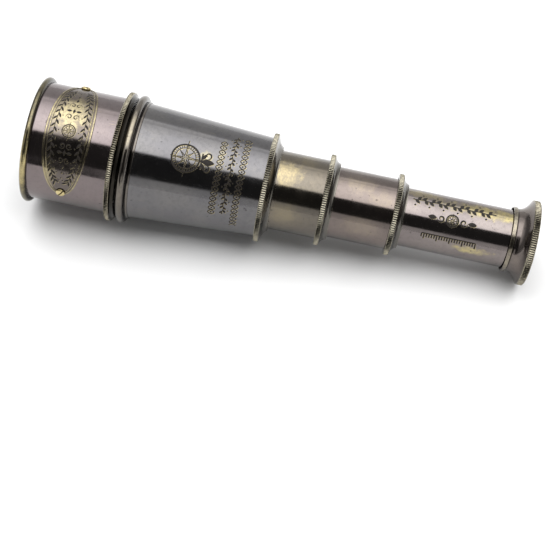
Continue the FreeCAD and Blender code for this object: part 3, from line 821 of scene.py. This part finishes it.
def lozenge(x, y, length, width):
    corners = np.array([(length / 2, 0), (0, width / 2), (-length / 2, 0), (0, -width / 2)])
    points = [corners[i] + (corners[(i + 1) % 4] - corners[i]) * k / 3 for i in range(4) for k in range(3)]
    return np.array(points) + (x, y)


def compass_rose(cut, radius, stroke, long_reach, ticks=32):
    """An eight-pointed compass star in a graduated ring. Its points across the tube are the longest."""
    cut.line(ring_path(0, 0, radius, 72), stroke, closed=True)
    cut.line(ring_path(0, 0, radius * 0.74, 64), stroke * 0.45, closed=True)
    for i in range(ticks):
        turn = 2 * math.pi * (i + 0.5) / ticks
        ray = np.array((math.cos(turn), math.sin(turn)))
        cut.line(straight(ray * radius * 0.78, ray * radius * 0.92, 3), stroke * 0.4)
    for i in range(8):
        turn = math.radians(i * 45)
        reach = radius * (0.70 if i % 2 else (long_reach if i % 4 == 2 else 1.12))
        tip = reach * np.array((math.cos(turn), math.sin(turn)))
        waists = [radius * 0.21 * np.array((math.cos(turn + side), math.sin(turn + side)))
                  for side in (math.pi / 8, -math.pi / 8)]
        cut.patch(np.concatenate([straight((0, 0), tip, 6), straight(tip, waists[0], 5)[1:],
                                  straight(waists[0], (0, 0), 4)[1:-1]]))
        cut.line(straight(tip, waists[1], 6), stroke * 0.45)


def fleur(cut, x):
    """The compass's north mark: a leaf between two curls, pointing along the axis."""
    cut.patch(leaf(x, 0, 6.4, 3.0, 0))
    cut.line(straight((x - 0.6, 0), (x + 1.5, 0), 6), 0.9)
    for side in (1, -1):
        cut.line(spiral_path(x + 2.9, side * 3.2, 2.1, 1.1, -150 * side, side), 0.85, taper=True)
        cut.patch(leaf(x + 0.4, side * 0.7, 3.8, 1.5, side * 60))
    cut.line(straight((x + 0.4, -3.8), (x + 0.4, 3.8), 16), 0.8)


def branch(cut, start, end, spacing, length, width, stroke, offset=0.0, upright=True):
    """A leafy branch: pairs of leaves along a waving stem, with berries between them. It goes round the tube
    when upright, and along the axis otherwise."""
    def place(flat):
        flat = np.asarray(flat, float) + (0.0, offset)
        return flat[:, ::-1] if upright else flat

    u = np.linspace(start, end, int((end - start) / 0.5))
    cut.line(place(np.stack([u, 0.25 * np.sin(u * math.pi / spacing)], axis=1)), stroke)
    for i in range(int((end - start) / spacing)):
        centre = start + (i + 0.3) * spacing
        side = 1 if i % 2 == 0 else -1
        cut.patch(place(leaf(centre, 0, length, width, 42 * side)))
        cut.patch(place(leaf(centre + spacing * 0.35, 0, length * 0.85, width, -50 * side)))
        cut.patch(place(lozenge(centre + spacing * 0.1, side * length * 0.98, width * 0.75, width * 0.75)))


def chain_border(cut, x, start, end, link, height, stroke):
    """Two strands that cross and part all round the tube, with a bead in each link."""
    y = np.linspace(start, end, int((end - start) / link * 10))
    swing = height / 2 * np.sin((y - start) / link * math.pi)
    for side in (1, -1):
        cut.line(np.stack([x + side * swing, y], axis=1), stroke)
    for i in range(int((end - start) / link)):
        cut.patch(lozenge(x, start + (i + 0.5) * link, 0.9, 1.1))


# ---------------------------------------------------------------- nameplate

def plate_frame():
    """The oval's station and angle, half width along the axis, half length round it, seat and thickness."""
    stations, radii, angles = node_points("nameplate")
    seat, thick = radii.min(), radii.max() - radii.min()
    station, angle = ((values.min() + values.max()) / 2 for values in (stations, angles))
    half_width, half_angle = ((values.max() - values.min()) / 2 for values in (stations, angles))
    return station, angle, half_width, half_angle * seat, seat, thick


# Distance in from the oval's edge, height over the plate's top, wear
PLATE_SECTION = (
    (0.0, -0.20, 0.8), (0.10, -0.05, 1.0), (0.25, 0.0, 1.0), (0.80, 0.0, 1.0), (0.90, -0.05, 0.3),
    (0.98, -0.18, 0.0), (1.40, -0.18, 0.0), (1.48, -0.05, 0.6), (1.56, 0.06, 1.0), (1.90, 0.06, 1.0),
    (2.00, -0.05, 0.4), (2.12, -0.16, 0.1),
)
PLATE_FIELD = -0.16             # the engraved field's height over the plate's top
WREATH_INSET = (3.9, 5.4)       # from the oval's edge, along the axis and round the hood
WREATH_LEAVES = 34              # on each side


def make_nameplate(plate_metal, fill, bare_lit_edge):
    """An oval plate wrapped on the hood: a bevelled edge, a raised double border and an engraved wreath."""
    station, angle, half_width, half_length, seat, thick = plate_frame()
    around, steps = 200, 24
    turn = np.linspace(0, 2 * math.pi, around, endpoint=False)

    def row(inset, height, share=1.0):
        a, b = (half_width - inset) * share, (half_length - inset) * share
        return axis_points(station + a * np.cos(turn), np.full(around, seat + thick + height),
                           angle + b * np.sin(turn) / seat)

    last_inset = PLATE_SECTION[-1][0]
    rows = [row(0.0, -thick)] + [row(inset, height) for inset, height, _ in PLATE_SECTION]
    wear = [0.1] + [tone for _, _, tone in PLATE_SECTION]
    for i in range(1, steps):
        rows.append(row(last_inset, PLATE_FIELD, 1 - i / steps))
        wear.append(0.0)
    for i in range(1, steps):
        rows.insert(0, row(0.0, -thick, 1 - i / steps))
        wear.insert(0, 0.0)
    ends = [[axis_points(station, seat + lift, angle)] for lift in (0.0, thick + PLATE_FIELD)]
    faces = grid_faces(len(rows), around)
    count = len(rows) * around
    for i in range(around):
        j = (i + 1) % around
        faces.append((j, i, count))
        faces.append((count - around + i, count - around + j, count + 1))
    layer = np.concatenate([np.repeat(wear, around), (0.0, 0.0)])
    piece = make_piece("nameplate_oval", np.concatenate(rows + ends), faces, plate_metal, "barrel",
                       "nameplate_brass", {"wear": layer, "grime_and_shade": np.zeros(len(layer))})
    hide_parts("nameplate")
    cut = Engraving(station, math.degrees(angle), lambda s: np.full(np.shape(s), seat + thick + PLATE_FIELD))
    engrave_plate(cut, half_width, half_length)
    cut.build("nameplate_engraving", fill, bare_lit_edge, "barrel", "nameplate_brass")


def engrave_plate(cut, half_width, half_length):
    """A wreath of two branches, with a compass star, scrolls and leaves down its middle."""
    a, b = half_width - WREATH_INSET[0], half_length - WREATH_INSET[1]
    for side in (1, -1):
        for i, degrees in enumerate(np.linspace(-64, 64, WREATH_LEAVES)):
            turn = math.radians(degrees)
            x, y = side * a * math.cos(turn), b * math.sin(turn)
            slope = math.degrees(math.atan2(b * math.cos(turn), -side * a * math.sin(turn)))
            lean = 34 if i % 2 else -34
            cut.patch(leaf(x, y, 3.0, 1.0, slope + lean))
            if i % 4 == 1:
                cut.patch(lozenge(x - side * 2.2, y - 0.6, 0.8, 0.8))
        stem = np.radians(np.linspace(-70, 68, 40))
        cut.line(np.stack([side * a * np.cos(stem), b * np.sin(stem)], axis=1), 0.42)
    compass_rose(cut, 3.0, 0.5, ticks=16, long_reach=1.5)
    for side in (1, -1):
        for hand in (1, -1):
            start = 90 - hand * 60
            cut.line(spiral_path(hand * 1.6, side * 6.9, 1.5, 1.25, start, hand * side), 0.55, taper=True)
            cut.line(spiral_path(hand * 1.4, side * 13.4, 1.4, 1.2, start, hand * side), 0.5, taper=True)
            cut.patch(leaf(hand * 0.9, side * 10.1, 2.6, 1.3, 90 - hand * 90))
        for y, length, width in ((10.1, 1.4, 2.8), (16.6, 1.4, 2.4), (19.6, 0.9, 1.4), (22.3, 0.7, 1.0)):
            cut.patch(lozenge(0, side * y, length, width))


# ---------------------------------------------------------------- engraving on the tubes

def tube_surface(node):
    """The outer radius along a tube or a cone, from the CAD node's two ends."""
    stations, radii, _ = node_points(node)
    front, rear = stations.min(), stations.max()
    at_front = radii[stations < front + 0.5].max()
    at_rear = radii[stations > rear - 0.5].max()
    return lambda s: at_front + (at_rear - at_front) * (np.asarray(s, float) - front) / (rear - front)


ROSE_STATION, ROSE_ANGLE = 22.8, 27       # from the barrel tube's front
BORDER_STATIONS = (38.3, 43.5, 48.7)


def engrave_barrel(fill, bare_lit_edge):
    surface = tube_surface("barrel_tube")
    front = span("barrel_tube")[0]
    rose = Engraving(front + ROSE_STATION, ROSE_ANGLE, surface)
    compass_rose(rose, 6.3, 0.95, long_reach=1.36)
    fleur(rose, 6.9)
    rose.build("barrel_compass_engraving", fill, bare_lit_edge, "barrel", "gunmetal_brass")
    borders = Engraving(front + BORDER_STATIONS[1], 38, surface)
    first, last = (station - BORDER_STATIONS[1] for station in (BORDER_STATIONS[0], BORDER_STATIONS[2]))
    chain_border(borders, first, -17.0, 19.0, 2.4, 2.9, 0.5)
    branch(borders, -22.0, 18.0, 2.3, 2.3, 1.05, 0.5)
    chain_border(borders, last, -22.0, 25.0, 2.4, 2.9, 0.5)
    borders.build("barrel_border_engraving", fill, bare_lit_edge, "barrel", "gunmetal_brass")


DRAW_STAR = (30.8, 28)    # the star's distance from the third draw's rear end, and its angle
DRAW_ORNAMENT = 19.4      # half the length of the branch beside it


def engrave_draw(fill, bare_lit_edge):
    """A bold branch, a star between leaves, and a scale of marks."""
    surface = tube_surface("draw_3_tube")
    rear = span("draw_3_tube")[1]
    cut = Engraving(rear - DRAW_STAR[0], DRAW_STAR[1], surface)
    branch(cut, -DRAW_ORNAMENT, DRAW_ORNAMENT, 3.3, 3.2, 1.6, 0.75, offset=-7.2, upright=False)
    compass_rose(cut, 2.7, 0.8, ticks=8, long_reach=1.25)
    for side in (1, -1):
        cut.line(spiral_path(side * 5.3, 0, 1.9, 1.2, 90 - side * 90, side), 0.9, taper=True)
        cut.patch(leaf(side * 7.2, 0, 4.2, 2.2, 90 - side * 90))
    ticks, scale, level = 22, 25.0, 8.2
    for i in range(ticks):
        x = scale * (i / (ticks - 1) - 0.5)
        cut.line(straight((x, level), (x, level + (2.9 if i % 5 == 1 else 1.9)), 4), 0.68)
    cut.line(straight((-scale / 2, level), (scale / 2, level), 50), 0.6)
    cut.build("draw_3_engraving", fill, bare_lit_edge, "draw_3", "bronzed_brass")


# ---------------------------------------------------------------- the telescope

def dress(node, material):
    """Give a CAD node its finish."""
    slots = frame["nodes"][node].data.materials
    for i in range(len(slots)):
        slots[i] = material
    if not slots:
        slots.append(material)


SKIN = 0.6                # how deep the outer finish goes into a tube's wall
BARREL_INSIDE = 20.0      # the tapered barrel is black inside this radius


def draw_radius(i):
    """The outer radius of a draw, counted from 0."""
    return tube_surface(f"draw_{i + 1}_tube")(0.0)


def dress_tubes():
    """The stations of the draws' patches of brighter brass are from the collar that the draw comes out of."""
    dress("hood_tube", bronzed("hood_bronze", (0.165, 0.140, 0.140), (0.190, 0.160, 0.156),
                               inside_radius=span("hood_tube")[3] - SKIN))
    barrel = span("barrel_tube")[0]
    dress("barrel_tube", bronzed("barrel_gunmetal", (0.122, 0.119, 0.124), (0.142, 0.137, 0.136),
                                 inside_radius=BARREL_INSIDE, brass=(0.36, 0.32, 0.19),
                                 patches=((barrel + ROSE_STATION + 8.6, ROSE_ANGLE - 4, 3.4, 10, 0.9),
                                          (barrel + BORDER_STATIONS[0], 16, 1.2, 22, 0.4))))
    # For each draw: patina, its tint, strength of the turning lines, bare brass, patches of brighter brass
    looks = (
        ((0.118, 0.106, 0.092), (0.145, 0.127, 0.102), 1.5, (0.30, 0.25, 0.15),
         ((4.0, 12, 8.5, 26, 0.95), (12.0, -20, 6.0, 20, 0.3), (6.0, 72, 9.0, 24, 0.3))),
        ((0.140, 0.117, 0.108), (0.165, 0.138, 0.125), 1.2, (0.27, 0.225, 0.17),
         ((10.0, 0, 9.0, 22, 0.5), (22.0, 20, 8.0, 20, 0.35), (14.0, 70, 10.0, 22, 0.4))),
        ((0.168, 0.146, 0.142), (0.200, 0.175, 0.165), 1.0, (0.40, 0.34, 0.17),
         ((8.0, -20, 14.0, 14, 0.5), (43.0, -8, 30.0, 20, 1.0), (33.0, 80, 11.0, 10, 0.9),
          (54.0, 16, 7.0, 24, 0.3))),
    )
    for i, (patina, tint, lines, brass, patches) in enumerate(looks):
        front = span(("barrel_collar", "draw_1_collar", "draw_2_collar")[i])[1]
        places = tuple((front + station, *rest) for station, *rest in patches)
        dress(f"draw_{i + 1}_tube", bronzed(f"draw_{i + 1}_bronze", patina, tint, lines=lines, brass=brass,
                                            inside_radius=draw_radius(i) - SKIN, patches=places))


def dress_rings():
    # The rim's golden patch low on the near side is a painted reflection
    front_rim_ring(bronzed("rim_bronze", (0.050, 0.048, 0.042), (0.085, 0.079, 0.065), roughness=0.11,
                           wear_and_shade_maps=True, wear=0.42, brass=(0.40, 0.335, 0.17),
                           patches=((1.5, 64, 3.4, 36, 1.0),)))
    # The bead's golden patch near the top, in the light, is a painted highlight
    bead_front = span("barrel_bead_ring")[0]
    bead_ring(bronzed("bead_bronze", (0.080, 0.074, 0.070), (0.120, 0.108, 0.098), roughness=0.10,
                      wear_and_shade_maps=True, wear=0.3, brass=(0.36, 0.315, 0.23),
                      patches=((bead_front + 1.0, 14, 2.6, 22, 0.55),)))
    ring_metal = bronzed("knurled_bronze", (0.055, 0.050, 0.042), (0.090, 0.081, 0.065), wear_and_shade_maps=True,
                         roughness=0.18, wear=0.8, brass=(0.56, 0.51, 0.38))
    collar_metal = bronzed("collar_bronze", (0.100, 0.095, 0.086), (0.135, 0.125, 0.108), wear_and_shade_maps=True,
                           roughness=0.14, wear=0.8, brass=(0.56, 0.515, 0.38))
    cup = bronzed("eyepiece_bronze", (0.115, 0.100, 0.093), (0.155, 0.132, 0.118), wear_and_shade_maps=True,
                  roughness=0.13, wear=0.6, brass=(0.42, 0.38, 0.26))
    dress("eyepiece_eye_disc", cup)
    eyepiece_cup(cup)
    objective_ring(ring_metal)
    for i, (node, body) in enumerate((("barrel_collar", "barrel"), ("draw_1_collar", "draw_1"),
                                      ("draw_2_collar", "draw_2"))):
        collar_piece(node, body, collar_metal, draw_radius(i))
    eyepiece_rim(ring_metal)


def dress_inside():
    inner_metal = plain_metal("blackened_metal", (0.030, 0.028, 0.026), (0.055, 0.045, 0.035), 0.45)
    sleeve_metal = plain_metal("sleeve_brass", (0.70, 0.55, 0.27), (0.42, 0.32, 0.15), 0.25)
    glass = lens_glass()
    for name in frame["nodes"]:
        dress(name, inner_metal)
        if name.endswith("_lens"):
            dress(name, glass)
        if name.endswith("_spring_sleeve"):
            dress(name, sleeve_metal)


def make_telescope():
    dress_inside()
    dress_tubes()
    dress_rings()
    make_screws(bronzed("screw_brass", (0.45, 0.38, 0.20), (0.60, 0.50, 0.26), roughness=0.16, wear_and_shade_maps=True,
                        brass=(0.68, 0.56, 0.28)))
    plate = span("nameplate")
    # The nameplate's first patch, in the light, is a painted highlight; the second brightens the brass low
    # near its front end
    plate_metal = bronzed("nameplate_brass", (0.105, 0.090, 0.083), (0.150, 0.128, 0.112), wear_and_shade_maps=True,
                          roughness=0.12, wear=0.8, brass=(0.40, 0.345, 0.20),
                          patches=(((plate[0] + plate[1]) / 2 - 1.0, 6, 10.0, 24, 0.9),
                                   (plate[0] + 3.0, 70, 5.0, 20, 0.7)))
    fill = engraving_fill()
    # The brass laid open at the cuts' edges, shown on one side only as a painted highlight
    bare_lit_edge = plain_metal("cut_brass_lit_edge", (0.33, 0.28, 0.16), (0.14, 0.12, 0.085), 0.22)
    make_nameplate(plate_metal, fill, bare_lit_edge)
    engrave_barrel(fill, bare_lit_edge)
    engrave_draw(fill, bare_lit_edge)


def set_view():
    settings = bpy.context.scene.view_settings
    settings.view_transform = "Standard"
    settings.look = "None"
    settings.exposure = 0.0
    settings.gamma = 1.0


set_view()
make_camera()
make_world()
make_floor()
make_telescope()
